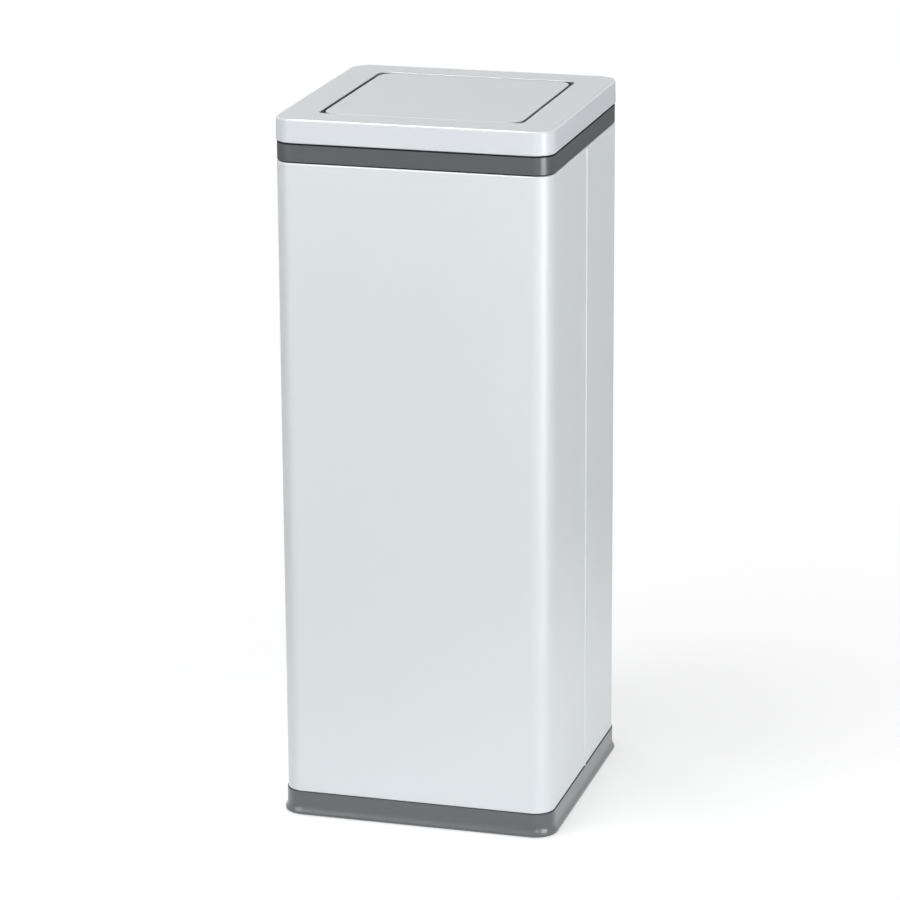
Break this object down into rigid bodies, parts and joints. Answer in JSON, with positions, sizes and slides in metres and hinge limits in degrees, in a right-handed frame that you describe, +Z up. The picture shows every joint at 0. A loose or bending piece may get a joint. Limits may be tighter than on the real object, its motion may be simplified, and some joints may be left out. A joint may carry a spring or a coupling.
{
  "type": "swing-lid trash can",
  "caption": "Tall square steel trash can with a moulded base, a bag-holding collar and a lift-off lid whose weighted flap swings on side pivots.",
  "frame": {"origin": "on the floor, under the middle of the square plan", "axes": "+Z up, front face towards -Y, lock seam on the +X side"},
  "size_m": [0.258, 0.258, 0.65],
  "materials": {
    "silver_paint": "fine satin silver-grey paint on sheet steel",
    "light_plastic": "finely grained light silver-grey moulded plastic",
    "dark_plastic": "satin dark grey moulded plastic",
    "foot_rubber": "dull black rubber",
    "plated_steel": "zinc-plated steel",
    "bush_nylon": "natural nylon",
    "weight_steel": "plain rolled steel bar"
  },
  "bodies": {
    "bin": {"base_skirt": "dark_plastic", "foot_pad_front_left": "foot_rubber", "foot_pad_front_right": "foot_rubber", "foot_pad_rear_left": "foot_rubber", "foot_pad_rear_right": "foot_rubber", "base_screws": "plated_steel", "bottom_pan": "silver_paint", "body_shell": "silver_paint"},
    "collar": {"collar_band": "dark_plastic"},
    "lid": {"lid_frame": "light_plastic", "bearing_bracket_right": "dark_plastic", "bearing_bracket_left": "dark_plastic", "bracket_screws": "plated_steel", "bush_right": "bush_nylon", "bush_left": "bush_nylon"},
    "flap": {"flap_panel": "light_plastic", "pivot_pin_right": "plated_steel", "pivot_pin_left": "plated_steel", "pin_clip_right": "plated_steel", "pin_clip_left": "plated_steel", "weight_bar": "weight_steel", "weight_screws": "plated_steel"}
  },
  "joints": [
    {"name": "collar_lift", "type": "slide", "parent": "bin", "child": "collar", "axis": [0, 0, 1], "range_m": [0, 0.06]},
    {"name": "lid_lift", "type": "slide", "parent": "collar", "child": "lid", "axis": [0, 0, 1], "range_m": [0, 0.05]},
    {"name": "flap_swing", "type": "hinge", "parent": "lid", "child": "flap", "pos_m": [0, 0, 0.641], "axis": [1, 0, 0], "range_deg": [-75, 75]}
  ]
}
